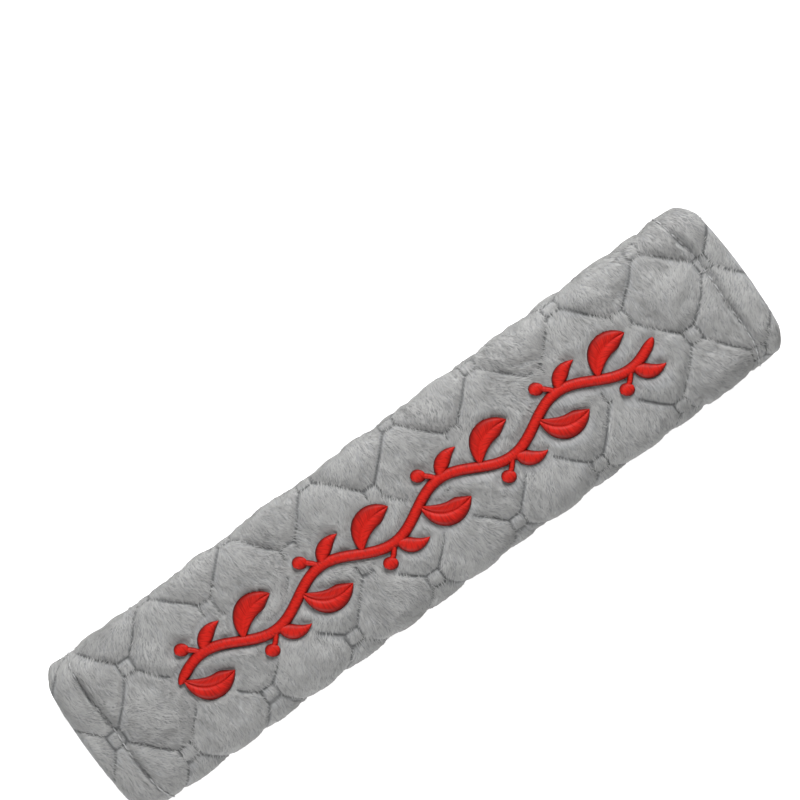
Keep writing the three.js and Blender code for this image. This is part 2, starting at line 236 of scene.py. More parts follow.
def swell(x, s):
    """The swell of the quilting, from 0 in a seam to 1 on the crown of a well-filled pillow."""
    rising, falling, ring = net_cell(x, s)

    def pillow(t):
        share = 2 * np.abs(t - np.rint(t))
        return (1 - (1 - share) ** crown_power) ** flank_power

    cell_place = np.floor(rising) * scatter[0], np.floor(falling) * scatter[1]
    filling = 1 + uneven_filling * wander(*cell_place, scatter_wave, 5)
    beside_knot = (1 - np.exp((1 - ring) * knot_flank)) ** flank_power
    cell = pillow(rising) * pillow(falling) * filling * beside_knot
    knot = knot_rise * (1 - np.clip(ring, 0, 1) ** knot_square)
    return np.where(ring < 1, knot, cell)


# %% [markdown]
# ## The vine's drawing
#
# The satin stitch is laid out before the plush is shaped, because its tight stitches press the pile
# flat. An embroidery program draws columns, not outlines, and so does this step: each column of stitching
# has a centre line and a width. They make a waving stem, a leaf in every arch, and a bud and a berry on
# its outer side. The same lines make the stitching itself later.

# %% Columns of the vine
vine_length = 216 * MM
vine_centre = -1 * MM
vine_waves = 4
vine_swing = 4.6 * MM
stem_width = 4.2 * MM
leaf_length = 21 * MM
leaf_width = 9.6 * MM
leaf_route = ((0.32, -0.5), (0.93, -0.36))
bud_length = 12 * MM
bud_width = 5.8 * MM
bud_route = ((0.35, 0.55), (1, 0.5))
berry_radius = 2.7 * MM
stalk_width = 2.2 * MM
root_sink = 0.5 * MM
tip_taper = 5 * MM
wave_length = vine_length / vine_waves
print(f"vine {vine_length / MM:.0f} mm long in {vine_waves} waves")


# %% Lines and outlines
def bent_line(start, middle, end, count):
    """Points of a quadratic curve, like an embroidery program's."""
    t = np.linspace(0, 1, count)[:, None]
    a, b, c = (np.array(p, float) for p in (start, middle, end))
    return (1 - t) ** 2 * a + 2 * t * (1 - t) * b + t * t * c


def almond(widest, count):
    """The widths of a leaf, which is fullest a little before its middle."""
    t = np.linspace(0, 1, count)
    return widest * np.sin(math.pi * t ** 0.8) ** 0.8


# %% The stem and its sprigs
def stem_column(count):
    x = np.linspace(-vine_length / 2, vine_length / 2, count)
    y = vine_centre + vine_swing * np.sin(math.tau * (x + vine_length / 2) / wave_length)
    from_tip = np.clip((vine_length / 2 - np.abs(x)) / tip_taper, 0, 1)
    taper = np.sqrt(from_tip * (2 - from_tip))
    return np.stack([x, y], axis=1), stem_width * np.maximum(taper, 0.1)


def sprig_columns(x, up, fineness):
    """The leaf, bud, stalk and berry of the half wave that starts at x, in steps of a given fineness."""
    crest = x + wave_length / 4

    def y(height):
        return vine_centre + up * height

    leaf_root = (x + stem_width / 2, y(root_sink))
    leaf_places = [(x + along * leaf_length, y(off * leaf_length)) for along, off in leaf_route]
    leaf = bent_line(leaf_root, *leaf_places, int(leaf_length / fineness))
    crest_root = y(vine_swing - root_sink)
    bud_places = [(crest + along * bud_length, y(vine_swing + off * bud_length))
                  for along, off in bud_route]
    bud = bent_line((crest + stalk_width / 2, crest_root), *bud_places, int(bud_length / fineness))
    berry = np.array([crest - berry_radius * 2, y(vine_swing + berry_radius * 2)])
    stalk_bend = (crest - stalk_width / 2, y(vine_swing + berry_radius))
    stalk = bent_line((crest, crest_root), stalk_bend, berry, int(2.2 * berry_radius / fineness))
    reach = np.array([berry_radius, 0])
    disc = bent_line(berry - reach, berry, berry + reach, int(2 * berry_radius / fineness))
    round_width = 2 * np.sqrt(np.maximum(berry_radius ** 2 - (disc[:, 0] - berry[0]) ** 2, 0))
    return [
        ("leaf", leaf, almond(leaf_width, len(leaf))),
        ("bud", bud, almond(bud_width, len(bud))),
        ("stalk", stalk, np.full(len(stalk), stalk_width)),
        ("berry", disc, round_width),
    ]


# %% The whole vine, and the distance from it
def vine_columns(fineness):
    columns = [("stem", *stem_column(int(1.15 * vine_length / fineness)))]
    for k in range(2 * vine_waves):
        start = -vine_length / 2 + k * wave_length / 2
        columns += sprig_columns(start, -1 if k % 2 else 1, fineness)
    return columns


coarse_columns = vine_columns(0.8 * MM)
stroke_points = np.concatenate([line for _, line, _ in coarse_columns])
stroke_halves = np.concatenate([width / 2 for _, _, width in coarse_columns])
print(f"vine of {len(coarse_columns)} columns")


def stroke_distance(x, y):
    """How far points of the front lie from the edge of the nearest column of stitching."""
    nearest = np.full(x.shape, 1.0)
    for centre, half in zip(stroke_points, stroke_halves):
        nearest = np.minimum(nearest, np.hypot(x - centre[0], y - centre[1]) - half)
    return nearest


# %% [markdown]
# ## The face of the plush
#
# The level of the plush adds up what happens to the panel: the pillows, the extra loft along the front,
# the flat field under the stitching, the floor that presses the cells under the pad flat, and the
# turned hem with its row of topstitching. Sculpting could do this by hand, but a sum of levels can be
# changed one number at a time. The cloth is laid a little low, because the pile that grows from it later
# fills it out.

# %% Levels of the panel
pile_depth = 0.2 * MM
hem_width = 12 * MM
hem_height = 7.6 * MM
hem_relief = 0.6
hem_pucker = 0.35 * MM
stitch_level = 5.8 * MM
stitch_spread = 1.1 * MM
folded_stitch = 0.95
folded_step = 4
folded_hem = 0.5
hem_wander = 0.7 * MM
hem_wave = 30 * MM
pucker_wave = 9 * MM
shallow_hem = 0.3 * MM
faded_crease = 1.5 * MM
core_tuck = 0.15 * MM
end_round = 3.8 * MM
lip_round = 2.6 * MM
end_blunt = 0.22
field_soft_edge = 8 * MM
field_half_height = 12.5 * MM
field_bulge = 0.9 * MM
bulge_reach = 4 * MM
pressed_rim = 0.3 * MM
pressed_reach = 3.4 * MM
held_between = 0.25
print(f"hem {hem_width / MM:.0f} mm wide, field {2 * field_half_height / MM:.0f} mm high")


# %% The hem and the embroidered field
def from_end(x):
    return half_length - np.abs(x)


def inside_hem(x, s):
    """How far a place lies inside the row of topstitching, which wanders a little."""
    return from_end(x) - hem_width - hem_wander * wander(np.sign(x), s, hem_wave, 9)


def field_level_at(x, s):
    """The share and the level of the embroidered field: pressed at the stitching, swelling between it."""
    along = smooth((vine_length / 2 + field_soft_edge - np.abs(x)) / field_soft_edge)
    across = smooth((field_half_height + field_soft_edge - np.abs(s - vine_centre)) / field_soft_edge)
    share = np.where(np.abs(s) < fold_centre + bulge_reach, along * across, 0)
    away = np.full(share.shape, far * MM)
    near = share > 0.01
    away[near] = stroke_distance(x[near], s[near])
    bulge = field_bulge * smooth(away / bulge_reach)
    pressed = 1 - smooth((away - pressed_rim) / pressed_reach)
    return share * mix(held_between, 1, pressed), field_level + bulge


# %% The outer face
def plush_level(x, s):
    """How high the plush stands over the belt: pillows and loft, then field, hem, stitching and floor."""
    across = s + net_drift(x, s)
    angle = np.clip((np.abs(across) - fold_centre) / fold_radius, 0, math.pi)
    folding = np.sin(angle)
    relief = puff_height * mix(1, fold_relief, folding) * swell(x, s)
    loft = front_loft * smooth(1 - np.abs(across) / (fold_centre + fold_length / 4)) + fold_loft * folding
    level = wall_base + groove_thickness + relief + loft
    share, field = field_level_at(x, across)
    level = mix(level, field, share)
    inside = inside_hem(x, s)
    hem_step = stitch_spread * mix(1, folded_step, folding)
    hem = (1 - smooth((inside + hem_step) / hem_step)) * mix(1, folded_hem, folding)
    pucker = hem_pucker * wander(x * 0.2, s, pucker_wave, 8)
    level = mix(level, hem_height + hem_relief * relief + pucker, hem)
    flap_floor = outer_flap_level + groove_thickness
    seat = np.where(s > core_outer_end, flap_floor, stitch_level)
    sewn = np.exp(-((inside / stitch_spread) ** 2)) * (1 - folded_stitch * np.sqrt(folding))
    level = mix(level, np.minimum(level, seat), sewn)
    down = np.maximum(-np.cos(angle), 1e-6)
    level = np.minimum(level, (floor_level + half_gap) / down - half_gap)
    return np.maximum(level, np.where(s > core_outer_end, flap_floor, 0))


def crease_distance(x, s):
    """The distance from the nearest sewn crease, which fades where stitching holds the plush flat."""
    share, _ = field_level_at(x, s + net_drift(x, s))
    faded = smooth((share - held_between) / (1 - held_between))
    hem_crease = np.abs(inside_hem(x, s)) + shallow_hem
    return np.minimum(seam_distance(x, s), hem_crease) + faded_crease * faded


# %% Both faces, round at the edges
def outer_level(x, s):
    return mix(under_flap_top, plush_level(x, s), smooth((s - thin_start) / flap_ramp))


def inner_level(x, s):
    low = np.where(s < core_under_end - core_tuck, foam_level, wall_base)
    hem = (np.abs(x) > core_end_x) | (s < under_edge + edge_turn)
    low = np.where(hem, 0, low)
    return np.where(s > core_outer_end, outer_flap_level, low)


def fullness(x, s):
    """How full the wall is near an edge, so that hems and lips end in a round."""
    def round_off(distance, radius):
        return np.sqrt(1 - (1 - np.clip(distance / radius, 0, 1)) ** 2)

    free = np.where(s > 0, round_off(outer_edge - s, lip_round), 1)
    return np.maximum(end_blunt, round_off(from_end(x), end_round) * np.maximum(end_blunt, free))


def face_level(x, s, side):
    low, high = inner_level(x, s), outer_level(x, s)
    return (low + high) / 2 + side * fullness(x, s) * (high - low) / 2 - (side > 0) * pile_depth


# %% [markdown]
# ## Two grids make the cover
#
# A grid primitive is a piece of cloth with as many squares as are asked for. One grid is shaped into the
# outer face, a second into the inner face, and their rims are bridged, which closes the cover. Where the
# cloth turns sharply, at the hems and at the lips of the lap, the rows of the grid are set closer.

# %% Rows and columns of cloth
cloth_step = 1.5 * MM
back_step = 2.6 * MM


def eased(radius, count):
    """Distances from an edge that follow a quarter round."""
    return radius * (1 - np.cos(np.linspace(0, math.pi / 2, count)))


hem_stations = eased(end_round, 6)
body_x = half_length - end_round
inner_columns = np.linspace(-body_x, body_x, 2 * round(body_x / cloth_step) + 1)[1:-1]
columns = np.concatenate([hem_stations - half_length, inner_columns, half_length - hem_stations[::-1]])
lip_stations = eased(lip_round, 5)


def stations(low, high, step):
    """Even places from one to just before another."""
    return np.linspace(low, high, round((high - low) / step) + 1)[:-1]


rows = np.concatenate([
    stations(under_edge, thin_start, back_step),
    stations(thin_start, ramp_start, cloth_step / 2),
    stations(ramp_start, -back_start, back_step),
    stations(-back_start, back_start, cloth_step),
    stations(back_start, outer_edge - lip_round, back_step),
    outer_edge - lip_stations[::-1],
])
print(f"cloth grid {len(columns)} by {len(rows)}")


# %% Read a mesh
map_unit = 100 * MM


def coordinates(mesh):
    flat = np.empty(len(mesh.vertices) * 3)
    mesh.vertices.foreach_get("co", flat)
    return flat.reshape(-1, 3)


def corner_points(mesh):
    """Which point each corner of each face uses."""
    corner = np.empty(len(mesh.loops), int)
    mesh.loops.foreach_get("vertex_index", corner)
    return corner


# %% Select and join
def select_only(obj):
    bpy.ops.object.select_all(action="DESELECT")
    obj.select_set(True)
    bpy.context.view_layer.objects.active = obj


def face_outwards(obj):
    """Turns every face of a closed piece outwards."""
    select_only(obj)
    bpy.ops.object.mode_set(mode="EDIT")
    bpy.ops.mesh.select_all(action="SELECT")
    bpy.ops.mesh.normals_make_consistent(inside=False)
    bpy.ops.object.mode_set(mode="OBJECT")


def close_cloth(outer, inner, name):
    """Joins two faces of cloth and bridges their rims into one closed piece."""
    select_only(outer)
    inner.select_set(True)
    bpy.ops.object.join()
    outer.name = name
    bpy.ops.object.mode_set(mode="EDIT")
    bpy.ops.mesh.select_mode(type="EDGE")
    bpy.ops.mesh.select_all(action="DESELECT")
    bpy.ops.mesh.select_non_manifold()
    bpy.ops.mesh.bridge_edge_loops()
    bpy.ops.object.mode_set(mode="OBJECT")
    face_outwards(outer)
    return outer


# %% Lay a grid of cloth
def laid_grid(name, squares_x, squares_s, lay):
    """A grid primitive whose points a function lays out, with a UV map of the flat cloth."""
    bpy.ops.object.select_all(action="DESELECT")
    bpy.ops.mesh.primitive_grid_add(x_subdivisions=squares_x, y_subdivisions=squares_s, size=1)
    obj = bpy.context.object
    obj.name = name
    mesh = obj.data
    unit = coordinates(mesh) + 0.5
    x, s, points = lay(unit[:, 0], unit[:, 1])
    mesh.vertices.foreach_set("co", points.ravel())
    cloth = np.stack([x, s], axis=1)[corner_points(mesh)] / map_unit
    mesh.uv_layers[0].name = "cloth"
    mesh.uv_layers[0].data.foreach_set("uv", cloth.ravel())
    mesh.update()
    return obj


def cloth_grid(name, xs, ss, level, drift):
    """A grid that is wrapped into the sleeve, with its columns and rows at places on the panel."""
    def lay(u, v):
        x = np.asarray(xs)[np.rint(u * (len(xs) - 1)).astype(int)]
        s = np.asarray(ss)[np.rint(v * (len(ss) - 1)).astype(int)]
        return x, s, place(x, s + drift(x, s), level(x, s))

    return laid_grid(name, len(xs) - 1, len(ss) - 1, lay)


def no_drift(x, s):
    return 0 * x


# %% Shape the cover
outer = cloth_grid("outer", columns, rows, lambda x, s: face_level(x, s, 1), net_drift)
outer_count = len(outer.data.vertices)
inner = cloth_grid("inner", columns, rows, lambda x, s: face_level(x, s, -1), no_drift)
cover = close_cloth(outer, inner, "plush_cover")
print(f"cover closed with {len(cover.data.polygons)} faces")

# %% [markdown]
# ## Let the wadding settle
#
# Formulas make pillows that are too even. Real plush is a little larger than the wadding under it, so it
# puckers beside the seams. The cloth simulation does this: the seams, hems and inner face are pinned, the
# rest is given some slack and a light pressure from inside, and no point may travel far.

# %% Pin the seams
settle_frames = 16
settle_cap = 1.1 * MM
settle_pressure = 4
cloth_slack = 0.035
hem_hold = 6 * MM
lap_hold = 4 * MM
most_freedom = 0.97

cloth_x, cloth_s = np.tile(columns, len(rows)), np.repeat(rows, len(columns))
pillow_share = swell(cloth_x, cloth_s) * smooth((from_end(cloth_x) - hem_width) / hem_hold)
share_of_field, _ = field_level_at(cloth_x, cloth_s + net_drift(cloth_x, cloth_s))
freedom = smooth(1.6 * pillow_share) * (1 - share_of_field) * smooth((cloth_s - ramp_start) / lap_hold)
freedom *= smooth((outer_edge - lip_round - cloth_s) / lap_hold)
held = np.ones(len(cover.data.vertices))
held[:outer_count] = 1 - most_freedom * freedom
print(f"{(held < 0.9).sum()} points are free to settle")


# %% Run the cloth
def settle(obj, held):
    """Lets the free points of a closed cloth swell and pucker, then caps how far they went."""
    before = coordinates(obj.data)
    group = obj.vertex_groups.new(name="held")
    for level in np.unique(np.round(held, 2)):
        group.add(np.flatnonzero(np.round(held, 2) == level).tolist(), float(level), "REPLACE")
    cloth = obj.modifiers.new("slack", "CLOTH")
    cloth.settings.effector_weights.gravity = 0
    cloth.settings.use_pressure = True
    cloth.settings.uniform_pressure_force = settle_pressure
    cloth.settings.shrink_min = -cloth_slack
    cloth.settings.vertex_group_mass = "held"
    cloth.settings.quality = 4
    cloth.collision_settings.use_collision = False
    for step in range(1, settle_frames + 1):
        bpy.context.scene.frame_set(step)
    select_only(obj)
    bpy.ops.object.modifier_apply(modifier="slack")
    moved = coordinates(obj.data) - before
    length = np.linalg.norm(moved, axis=1, keepdims=True)
    moved *= np.minimum(1, settle_cap / np.maximum(length, 1e-9))
    settled = before + moved
    settled[:, 2] = np.maximum(settled[:, 2], pile_depth * (before[:, 2] < half_gap))
    obj.data.vertices.foreach_set("co", settled.ravel())
    obj.data.update()
    obj.vertex_groups.remove(obj.vertex_groups["held"])
    bpy.context.scene.frame_set(1)
    print(f"settled by up to {length.max() / MM:.2f} mm before the cap")


settle(cover, held)

# %% [markdown]
# ## Finish the cover's mesh
#
# One level of subdivision rounds the cloth. Its inner face is hidden between the layers and stays flat,
# so there the extra faces are dissolved again.

# %% Mark the inner face
face_points = coordinates(cover.data)[:outer_count].reshape(len(rows), len(columns), 3)
inside = cover.data.attributes.new("inside", "BOOLEAN", "FACE")
first_corner = np.empty(len(cover.data.polygons), int)
cover.data.polygons.foreach_get("loop_start", first_corner)
lowest_point = np.minimum.reduceat(corner_points(cover.data), first_corner)
inside.data.foreach_set("value", lowest_point >= outer_count)
print((lowest_point >= outer_count).sum(), "faces lie inside")

# %% Subdivide the face and thin the inside
inside_kept = 0.08
select_only(cover)
rounding = cover.modifiers.new("rounding", "SUBSURF")
rounding.levels = 1
rounding.render_levels = 1
bpy.ops.object.modifier_apply(modifier="rounding")
is_inside = np.empty(len(cover.data.polygons), bool)
cover.data.attributes["inside"].data.foreach_get("value", is_inside)
bpy.ops.object.mode_set(mode="EDIT")
bpy.ops.mesh.select_mode(type="FACE")
bpy.ops.mesh.select_all(action="DESELECT")
bpy.ops.object.mode_set(mode="OBJECT")
cover.data.polygons.foreach_set("select", is_inside)
bpy.ops.object.mode_set(mode="EDIT")
bpy.ops.mesh.decimate(ratio=inside_kept)
bpy.ops.object.mode_set(mode="OBJECT")
cover.data.attributes.remove(cover.data.attributes["inside"])
bpy.ops.object.shade_smooth()
print(f"cover has {len(cover.data.polygons)} faces")

# %% Mark the creases for painted shade
crease_width = 0.9 * MM
flat_cloth = np.empty(len(cover.data.loops) * 2)
cover.data.uv_layers["cloth"].data.foreach_get("uv", flat_cloth)
vertex_cloth = np.zeros((len(cover.data.vertices), 2))
vertex_cloth[corner_points(cover.data)] = flat_cloth.reshape(-1, 2) * map_unit
crease = cover.data.attributes.new("crease", "FLOAT", "POINT")
# Painted shade: near every sewn crease and the hem's crease, the ground's colour is darkened where shade
# falls.
painted_crease_shade = 1 - smooth(crease_distance(vertex_cloth[:, 0], vertex_cloth[:, 1]) / crease_width)
crease.data.foreach_set("value", painted_crease_shade)
print(f"{painted_crease_shade.mean():.0%} of its points lie in a crease")

# %% [markdown]
# ## The pile
#
# Plush is a woven ground with a dense pile standing out of it, combed over so that its fibres lie in
# locks. From arm's length the locks read as fine streaks that swirl over each pillow and lean away from
# its crown. Particle hair could grow single fibres, but it is lost when the part is kept as a mesh, so
# locks are modelled instead. Each is a small spindle of six faces: a root, a tip and three points round
# its middle. It is laid along the cloth by walking across the flat panel, so it follows the surface, and
# it stops short of the sewn creases. Its normals lean with the cloth under it, which keeps the pile soft.
# Its map is its place on the flat panel, under the name by which an export bakes fur through it.

# %% Find points on the cloth
normals = np.cross(np.gradient(face_points, axis=1), np.gradient(face_points, axis=0))
normals /= np.linalg.norm(normals, axis=2, keepdims=True)


def on_cover(x, s):
    """Points and outward normals of the cover at places on the panel."""
    u = np.interp(x, columns, np.arange(len(columns)))
    v = np.interp(s, rows, np.arange(len(rows)))
    left = np.minimum(u.astype(int), len(columns) - 2)
    low = np.minimum(v.astype(int), len(rows) - 2)
    du = (u - left)[:, None]
    dv = (v - low)[:, None]

    def blend(field):
        below = field[low, left] * (1 - du) + field[low, left + 1] * du
        above = field[low + 1, left] * (1 - du) + field[low + 1, left + 1] * du
        return below * (1 - dv) + above * dv

    normal = blend(normals)
    return blend(face_points), normal / np.linalg.norm(normal, axis=1, keepdims=True)


# %% Comb the nap
lean_reach = 0.8 * MM
swirls = ((0.75, 60 * MM, 11), (0.3, 14 * MM, 12))


def nap_heading(x, s):
    """The way the pile is combed, as an angle in the flat panel: across the pad, in swirls."""
    down_x = swell(x - lean_reach, s) - swell(x + lean_reach, s)
    down_s = swell(x, s - lean_reach) - swell(x, s + lean_reach)
    swirl = -math.pi / 2
    for turn, wavelength, seed in swirls:
        swirl = swirl + turn * wander(x, s, wavelength, seed)
    return np.arctan2(np.sin(swirl) + down_s, np.cos(swirl) + down_x)


# %% Keep the seams and the stitching clear
crease_clearance = 0.2 * MM
stitch_clearance = 0.08 * MM
clearance_wave = 22 * MM
field_margin = 2 * MM
path_checks = 8


def free_share(x, s, heading, length):
    """The share of each lock's length that lies clear of the seams and of the stitching."""
    share = np.ones(len(x))
    gap = crease_clearance * np.clip(0.9 + 0.8 * wander(x, s, clearance_wave, 17), 0.1, 1.8)
    for step in np.linspace(1, 0, path_checks + 1):
        at_x = x + step * length * np.cos(heading)
        at_s = s + step * length * np.sin(heading)
        blocked = crease_distance(at_x, at_s) < gap
        near = np.abs(at_s - vine_centre) < field_half_height + field_margin
        blocked[near] |= stroke_distance(at_x[near], at_s[near]) < stitch_clearance
        share[blocked] = step - 1 / path_checks
    return share


# %% Make pieces from lists of points and faces
above_floor = 0.02 * MM


def listed_piece(name, vertices, faces):
    mesh = bpy.data.meshes.new(name)
    mesh.from_pydata(vertices, [], faces)
    mesh.shade_smooth()
    obj = bpy.data.objects.new(name, mesh)
    bpy.context.scene.collection.objects.link(obj)
    return obj


def add_map(mesh, name, places):
    """Adds a UV map that gives each point of a mesh its place."""
    layer = mesh.uv_layers.new(name=name)
    layer.data.foreach_set("uv", np.asarray(places)[corner_points(mesh)].ravel())


# %% Walk along the cloth
lock_length = 4.4 * MM
lock_width = 0.29 * MM
lock_lift = 0.2 * MM
lock_stages = ((0, -0.8), (0.45, 0.4), (1, 1.0))


def lock_walk(x, s, heading, curl, length, lift):
    """Where locks have their roots, middles and tips: places on the panel, points and normals."""
    laid, path, facing = [], [], []
    for share, rise in lock_stages:
        turn = heading + curl * share
        at_x = np.clip(x + length * share * np.cos(turn), -half_length, half_length)
        at_s = np.clip(s + length * share * np.sin(turn), under_edge, outer_edge)
        point, normal = on_cover(at_x, at_s)
        path.append(point + normal * (lift * rise)[:, None])
        laid.append(np.stack([at_x, at_s], axis=1))
        facing.append(normal)
    return laid, path, facing


# %% Lay the locks
spindle = ((0, 3, 1), (0, 2, 3), (0, 1, 2), (1, 3, 4), (3, 2, 4), (2, 1, 4))
spindle_points = 5
lock_crown = 0.45
lock_bulge = 0.2
pile_map = "OFBake"
panel_low = np.array([-half_length, under_edge]) - MM
panel_size = np.array([2 * half_length, outer_edge - under_edge]) + 2 * MM


def locks(x, s, shortness, draw, name):
    """One mesh of spindle-shaped locks, rooted at places on the panel."""
    heading = nap_heading(x, s) + draw.normal(0, 0.14, len(x))
    width = lock_width * draw.uniform(0.7, 1.2, len(x)) * np.sqrt(shortness)
    lift = lock_lift * draw.uniform(0.7, 1.4, len(x))
    curl = draw.normal(0, 0.2, len(x))
    laid, path, facing = lock_walk(x, s, heading, curl, lock_length * shortness, lift)
    root, middle, tip = path
    up = facing[1]
    side = np.cross(up, tip - root)
    side /= np.maximum(np.linalg.norm(side, axis=1, keepdims=True), 1e-9)
    half = (width / 2)[:, None]
    points = [root, middle + side * half, middle - side * half, middle + up * half * lock_crown, tip]
    points = np.stack(points, axis=1).reshape(-1, 3)
    points[:, 2] = np.maximum(points[:, 2], above_floor)
    aside = np.stack([-np.sin(heading), np.cos(heading)], axis=1) * half
    panel = np.stack([laid[0], laid[1] + aside, laid[1] - aside, laid[1], laid[2]], axis=1)
    starts = (np.arange(len(x)) * spindle_points)[:, None]
    faces = np.concatenate([starts + np.array(corners) for corners in spindle]).tolist()
    obj = listed_piece(name, points, faces)
    add_map(obj.data, pile_map, (panel.reshape(-1, 2) - panel_low) / panel_size)
    soft = [facing[0], up + side * lock_bulge, up - side * lock_bulge, up, facing[2]]
    obj.data.normals_split_custom_set_from_vertices(np.stack(soft, axis=1).reshape(-1, 3).tolist())
    return obj


# %% Grow the pile
front_density = 2.7 / MM ** 2
back_density = 0.6 / MM ** 2
shortest_lock = 0.16
tone_wave = 3.2 * MM
tone_steps = (-1.0, 0.1)


def rooted(low, high, density, draw):
    """Random roots between two places across the panel, and how short each lock has to be."""
    count = int(2 * half_length * (high - low) * density)
    x = draw.uniform(-half_length, half_length, count)
    s = draw.uniform(low, high, count)
    wanted = draw.uniform(0.6, 1.3, count)
    shortness = wanted * free_share(x, s, nap_heading(x, s), wanted * lock_length)
    clear = shortness > shortest_lock
    return x[clear], s[clear], shortness[clear]


draw = np.random.default_rng(21)
front = rooted(-back_start, back_start, front_density, draw)
back = np.hstack([rooted(ramp_start, -back_start, back_density, draw),
                  rooted(back_start, outer_edge, back_density, draw)])
tone = 0.5 * wander(front[0], front[1], tone_wave, 15) + draw.normal(0, 0.8, len(front[0]))
shades = np.digitize(tone, tone_steps)
pile = []
for shade, name in enumerate(("pile_deep", "pile_mid", "pile_pale")):
    chosen = shades == shade
    pile.append(locks(front[0][chosen], front[1][chosen], front[2][chosen], draw, name))
pile.append(locks(back[0], back[1], back[2], draw, "pile_back"))
for piece in pile:
    print(piece.name, len(piece.data.vertices) // spindle_points, "locks")

# %% [markdown]
# ## The satin stitch
#
# Satin stitch lays thread after thread side by side across a column, over padding that rounds it. A
# curve with a round bevel would give a smooth worm. Here each column is swept section by section along its
# centre line instead, and every second section stands a hair higher, which draws the single threads. A
# leaf is two rows of slanted threads that meet in a groove along its vein.

# %% The section of a column
satin_height = 1.4 * MM
thread_pitch = 0.46 * MM
thread_rise = 0.07 * MM
satin_sink = 0.25 * MM
thinnest_column = 0.3 * MM
column_sides = 13
vein_height = 0.42
leaf_slant = 0.7
stem_slant = 0.18
stitch_unit = 10 * MM
across_column = np.linspace(-1, 1, column_sides)


def column_section(kind):
    """How high a column stands, and how its threads slant, from one edge (-1) to the other (1)."""
    a = np.abs(across_column)
    if kind != "leaf":
        return (1 - a ** 2.4) ** 0.62, stem_slant * across_column
    lobe = np.sqrt(np.maximum(1 - (2 * a - 1) ** 2, 0))
    return np.where(a > 0.5, lobe, vein_height + (1 - vein_height) * lobe), leaf_slant * a


# %% Sweep a column of stitching
def satin_column(kind, line, width, vertices, faces, stitch_map):
    """Adds one column of stitching to lists of vertices, faces and map places."""
    along = np.gradient(line, axis=0)
    along /= np.linalg.norm(along, axis=1, keepdims=True)
    right = np.stack([along[:, 1], -along[:, 0]], axis=1)
    up, slant = column_section(kind)
    half = np.maximum(width, thinnest_column) / 2
    height = satin_height * np.minimum(1, 0.45 + 0.55 * half / (stem_width / 2))
    ridge = thread_rise * np.sqrt(1 - np.abs(across_column))
    start = len(vertices)
    for k, centre in enumerate(line):
        thread = right[k] * half[k] * across_column[:, None] + along[k] * (slant * half[k])[:, None]
        z = vine_low.z - satin_sink + (height[k] + satin_sink) * up + ridge * (k % 2)
        vertices += np.column_stack([centre + thread, z]).tolist()
        stitch_map += [(k * thread_pitch / 2 / stitch_unit, (t + 1) / 2) for t in across_column]
        if k:
            low = start + (k - 1) * column_sides
            high = low + column_sides
            for side in range(column_sides):
                beside = (side + 1) % column_sides
                faces.append((low + side, high + side, high + beside, low + beside))
    faces.append(tuple(range(start, start + column_sides)))
    last = len(vertices) - column_sides
    faces.append(tuple(range(last + column_sides - 1, last - 1, -1)))


# %% Stitch the vine
vertices, faces, stitch_map = [], [], []
for kind, line, width in vine_columns(thread_pitch / 2):
    satin_column(kind, line, width, vertices, faces, stitch_map)
vine = listed_piece("satin_vine", vertices, faces)
add_map(vine.data, "stitch", stitch_map)
face_outwards(vine)
print(f"vine has {len(vine.data.polygons)} faces")

# %% [markdown]
# ## Seams sewn with thread
#
# The turned ends are held by a row of topstitching, and another row under the pad sews the fastening
# tape to the outer flap. A dashed line in the material would stay flat. So each stitch is a short soft
# bar that dives into the cloth at both ends, and one function lays it anywhere on the panel.

# %% One stitch
stitch_length = 2.9 * MM
stitch_gap = 0.7 * MM
stitch_lift = 0.25 * MM
thread_radius = 0.24 * MM
thread_rings = 6
thread_sides = 6
along_stitch = np.linspace(0, 1, thread_rings)
thread_turn = np.arange(thread_sides)[:, None] * math.tau / thread_sides


def add_stitch(begin, end, vertices, faces):
    """Adds a stitch between two places on the panel, given as (x, s), to lists of vertices and faces."""
    path = np.array(begin) + along_stitch[:, None] * (np.array(end) - np.array(begin))
    point, normal = on_cover(path[:, 0], path[:, 1])
    rise = thread_radius * (1.9 * np.sin(math.pi * along_stitch) ** 0.5 - 0.6)
    centre = point + normal * (rise + stitch_lift)[:, None]
    along = np.gradient(centre, axis=0)
    along /= np.linalg.norm(along, axis=1, keepdims=True)
    side = np.cross(normal, along)
    radius = thread_radius * np.maximum(np.sin(math.pi * (0.12 + 0.76 * along_stitch)) ** 0.5, 0.3)
    start = len(vertices)
    for k in range(thread_rings):
        ring = centre[k] + radius[k] * (np.cos(thread_turn) * side[k] + np.sin(thread_turn) * normal[k])
        ring[:, 2] = np.maximum(ring[:, 2], above_floor)
        vertices += ring.tolist()
        for j in range(thread_sides if k else 0):
            low = start + (k - 1) * thread_sides
            high = low + thread_sides
            beside = (j + 1) % thread_sides
            faces.append((low + j, low + beside, high + beside, high + j))
    faces.append(tuple(range(start + thread_sides - 1, start - 1, -1)))
    faces.append(tuple(range(len(vertices) - thread_sides, len(vertices))))


# %% Sew the hems and the tape
def sewn_stitches(places, name):
    """One mesh of stitches, from a list of where each begins and ends."""
    vertices, faces = [], []
    for begin, end in places:
        add_stitch(begin, end, vertices, faces)
    obj = listed_piece(name, vertices, faces)
    face_outwards(obj)
    return obj


